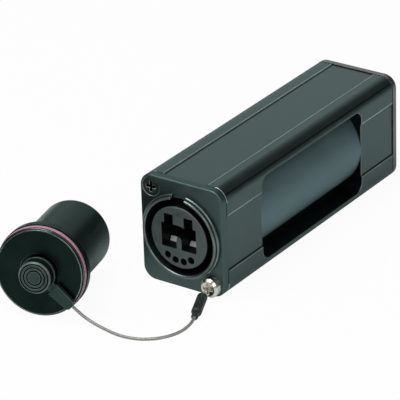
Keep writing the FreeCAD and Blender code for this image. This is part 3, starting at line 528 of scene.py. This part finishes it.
def dress_solids():
    """Finishes of the solids, with rounded edges on those that show. Gives the pieces on the tether."""
    along = (1, 40, 1)
    anodised = dark_sheen("anodised_black", (74, 87, 86), (79, 92, 91), smooth=0.31, matt=0.35, lines=along)
    drawn = dark_sheen("drawn_tube", (104, 128, 132), (110, 134, 138), smooth=0.58, matt=0.64, share=0.75)
    plated = dark_sheen("plated_black", (74, 92, 90), (84, 103, 101), smooth=0.42, matt=0.52)
    # Edge finishes lighter than the skin: part wear, part painted highlight on edges that catch light
    worn_highlight = dark_sheen("worn_edge_highlight", (100, 111, 107), (128, 139, 134), smooth=0.28, matt=0.38)
    rubbed_highlight = dark_sheen("rubbed_edge_highlight", (142, 158, 153), (170, 186, 180), smooth=0.28, matt=0.38)
    scuffed_highlight = black_plastic("scuffed_edge_highlight", (80, 92, 87), (98, 110, 105), smooth=0.32, matt=0.42)
    screw_black = dark_sheen("screw_black", (96, 110, 106), (116, 130, 126), smooth=0.3, matt=0.4)
    button = black_plastic("button_black", (40, 50, 47), (52, 63, 60), smooth=0.3, matt=0.4, gloss=0.4)
    # Black painted as shade in the button's grooves and under its face
    groove_shade = black_plastic("groove_shade_black", (10, 15, 14), (15, 21, 20), smooth=0.4, matt=0.5, gloss=0.2)
    tab_plastic = black_plastic("tab_plastic", (24, 37, 31), (32, 45, 39), smooth=0.32, matt=0.42)
    # Black painted as shade in hollows: the housing's window pocket and lower panel slopes, the inserts'
    # mouths and sides, and the countersunk screw's cross
    shade_black_paint = black_plastic("shade_black_paint", (5, 9, 9), (8, 13, 13), smooth=0.4, matt=0.5, gloss=0.2)
    grey = moulded("insert_grey", (61, 73, 72), (69, 83, 81))
    spring = metal("spring_steel", (105, 107, 108), (125, 127, 128))
    # Steel leaves coloured near white and mostly diffuse: a painted reflection that stands in for their
    # bright glint
    strip_glint = metal("strip_steel_glint", (238, 243, 242), (248, 251, 250), smooth=0.4, matt=0.5, share=0.15)
    bright = metal("bright_zinc", (198, 199, 188), (224, 224, 213), smooth=0.16, matt=0.28, lines=(6, 1, 1))
    tinned = metal("tinned", (186, 186, 178), (214, 214, 205))
    gold = metal("gold_plate", (190, 150, 70), (215, 176, 95))
    plug_blue = moulded("plug_blue", (32, 66, 122), (40, 78, 138))
    ceramic = moulded("ceramic", (232, 230, 222), (240, 238, 232), smooth=0.1, matt=0.18)
    boot = rubber("boot_rubber", (222, 222, 216), (235, 235, 230))
    gasket = rubber("gasket_rubber", (14, 15, 15), (22, 23, 23))
    pink = rubber("ring_pink", (180, 124, 142), (196, 142, 158), smooth=0.42, matt=0.54)
    sleeve = rubber("shrink_sleeve", (30, 39, 37), (44, 53, 50), smooth=0.4, matt=0.52)
    box_skins = (anodised, drawn, rubbed_highlight, shade_black_paint, worn_highlight)
    soften("housing", *box_skins, paint=housing_paint, sharp=PANEL_EDGE)
    soften("front_shell", plated, worn_highlight, paint=collar_paint)
    soften("rear_shell", plated_nickel())
    for name in both_ends("insert"):
        soften(name, grey, shade_black_paint, paint=insert_paint)
    soften("front_countersunk_screw", screw_black, rubbed_highlight, shade_black_paint, paint=screw_paint)
    soften("front_pan_screw", bright)
    soften("rear_screws", bright)
    soften("tether_terminal", tinned)
    on_tether = {
        "tether_sleeve": soften("tether_sleeve", sleeve),
        "tether_tab": soften("tether_tab", tab_plastic, scuffed_highlight, paint=tab_paint),
    }
    soften("cap_body", turned_black(), worn_highlight, paint=cap_paint)
    soften("cap_ring", pink)
    soften("cap_rivet", button, scuffed_highlight, groove_shade, paint=button_paint)
    for name in both_ends("leaf_left", "leaf_right"):
        soften(name, strip_glint)
    dress(grey, *both_ends("adapter_back"))
    dress(spring, *both_ends("retaining_ring"))
    dress(gold, *both_ends("contacts"))
    dress(gasket, *both_ends("gasket"))
    dress(plug_blue, *both_ends("plug_left", "plug_right", "plug_clip"))
    dress(ceramic, *both_ends("sleeve_left", "sleeve_right", "ferrule_left", "ferrule_right"))
    dress(boot, *both_ends("boot_left", "boot_right"))
    dress(rubber("fibre_jacket", (205, 170, 40), (222, 188, 58)), "fibre_left", "fibre_right")
    dress(rubber("wire_jacket", (104, 24, 20), (124, 34, 28)), "link_wires")
    return on_tether


def make_tether(pieces):
    """Wire rope that lies in a loose bow between the flange screw and the cap."""
    curve = bpy.data.curves.new("tether_rope", "CURVE")
    curve.dimensions = "3D"
    curve.bevel_depth = TETHER_DIAMETER / 2
    curve.bevel_resolution = 5
    curve.resolution_u = 16
    curve.use_fill_caps = True
    spline = curve.splines.new("NURBS")
    spline.points.add(len(TETHER_ROUTE) - 1)
    for point, place in zip(spline.points, TETHER_ROUTE):
        point.co = (*place, 1.0)
    spline.order_u = 3
    spline.use_endpoint_u = True
    spline.use_smooth = True
    rope_piece = bpy.data.objects.new("tether_rope", curve)
    bpy.context.scene.collection.objects.link(rope_piece)
    curve.materials.append(rope())
    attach(rope_piece, "coupler")
    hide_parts("tether_wire")


def white_ground(name):
    """Pale ground that reads as white to the camera and in reflections, and keeps a soft shadow."""
    material = bpy.data.materials.new(name)
    material.use_nodes = True
    tree = material.node_tree
    tree.nodes.clear()

    def combine(operation, first, second):
        """Result of an operation on an output and either another output or a number."""
        node = tree.nodes.new("ShaderNodeMath")
        node.operation = operation
        tree.links.new(first, node.inputs[0])
        if isinstance(second, float):
            node.inputs[1].default_value = second
        else:
            tree.links.new(second, node.inputs[1])
        return node.outputs["Value"]

    output = tree.nodes.new("ShaderNodeOutputMaterial")
    lit = tree.nodes.new("ShaderNodeBsdfDiffuse")
    lit.inputs["Color"].default_value = FLOOR_GREY
    white = tree.nodes.new("ShaderNodeEmission")
    white.inputs["Color"].default_value = WHITE
    path = tree.nodes.new("ShaderNodeLightPath").outputs
    mirrored = combine("MAXIMUM", path["Is Glossy Ray"], path["Is Transmission Ray"])
    dimmed = combine("MULTIPLY", mirrored, MIRRORED_WHITE)
    seen = combine("MULTIPLY", path["Is Camera Ray"], SEEN_WHITE)
    mix = tree.nodes.new("ShaderNodeMixShader")
    tree.links.new(combine("MAXIMUM", seen, dimmed), mix.inputs["Fac"])
    tree.links.new(lit.outputs["BSDF"], mix.inputs[1])
    tree.links.new(white.outputs["Emission"], mix.inputs[2])
    tree.links.new(mix.outputs["Shader"], output.inputs["Surface"])
    return material


def make_floor():
    """Plain pale floor under the object."""
    mesh = bpy.data.meshes.new("floor")
    signs = ((-1, -1), (1, -1), (1, 1), (-1, 1))
    corners = [(x * FLOOR_HALF, y * FLOOR_HALF, 0.0) for x, y in signs]
    mesh.from_pydata(corners, [], [(0, 1, 2, 3)])
    floor = bpy.data.objects.new("floor", mesh)
    bpy.context.scene.collection.objects.link(floor)
    mesh.materials.append(white_ground("floor_white"))


def soft_box(name, place, aim, width, height, power, spread=180.0):
    """Area light at a place, turned to a point, whose beam spreads over an angle in degrees."""
    light = bpy.data.lights.new(name, "AREA")
    light.shape = "RECTANGLE"
    light.size = width
    light.size_y = height
    light.energy = power
    light.spread = math.radians(spread)
    lamp = bpy.data.objects.new(name, light)
    bpy.context.scene.collection.objects.link(lamp)
    lamp.location = place
    lamp.rotation_euler = (Vector(aim) - Vector(place)).to_track_quat("-Z", "Y").to_euler()


def make_light():
    """Soft studio light: a grey room with boxes overhead, in front on both sides and behind on the left."""
    world = bpy.data.worlds.new("studio")
    bpy.context.scene.world = world
    world.use_nodes = True
    background = world.node_tree.nodes["Background"]
    background.inputs["Color"].default_value = WHITE
    background.inputs["Strength"].default_value = ROOM_LIGHT
    middle = (0.0, -0.03, 0.0)
    soft_box("overhead", (-0.15, -0.33, 0.88), middle, width=0.5, height=0.5, power=5.4)
    soft_box("front_left", (-0.50, -0.50, 0.72), middle, width=0.5, height=0.5, power=1.0)
    beside = (0.04, -0.03, 0.0)
    soft_box("front_right", (0.42, -0.36, 0.36), beside, width=0.5, height=0.5, power=0.2, spread=60.0)
    over_middle = (0.0, 0.0, 0.02)
    soft_box("behind_left", (-0.29, 0.55, 0.29), over_middle, width=0.6, height=0.38, power=0.5)


def make_camera():
    """Camera that sees the object as the photograph does."""
    camera = bpy.data.cameras.new("camera")
    camera.lens = CAMERA_LENS
    camera.sensor_width = CAMERA_SENSOR
    camera.clip_start = 0.01
    camera.clip_end = 20.0
    viewer = bpy.data.objects.new("camera", camera)
    bpy.context.scene.collection.objects.link(viewer)
    flat = math.cos(CAMERA_ELEVATION)
    back = Vector((
        math.sin(CAMERA_AZIMUTH) * flat,
        -math.cos(CAMERA_AZIMUTH) * flat,
        math.sin(CAMERA_ELEVATION),
    ))
    level = Vector((math.cos(CAMERA_AZIMUTH), math.sin(CAMERA_AZIMUTH), 0.0))
    upright = back.cross(level)
    right = level * math.cos(CAMERA_ROLL) + upright * math.sin(CAMERA_ROLL)
    up = upright * math.cos(CAMERA_ROLL) - level * math.sin(CAMERA_ROLL)
    turn = Matrix((right, up, back)).transposed().to_4x4()
    viewer.matrix_world = Matrix.Translation(CAMERA_TARGET + back * CAMERA_DISTANCE) @ turn
    bpy.context.scene.camera = viewer


make_camera()
make_tether(dress_solids())
make_floor()
make_light()
bpy.context.scene.view_settings.view_transform = "Standard"
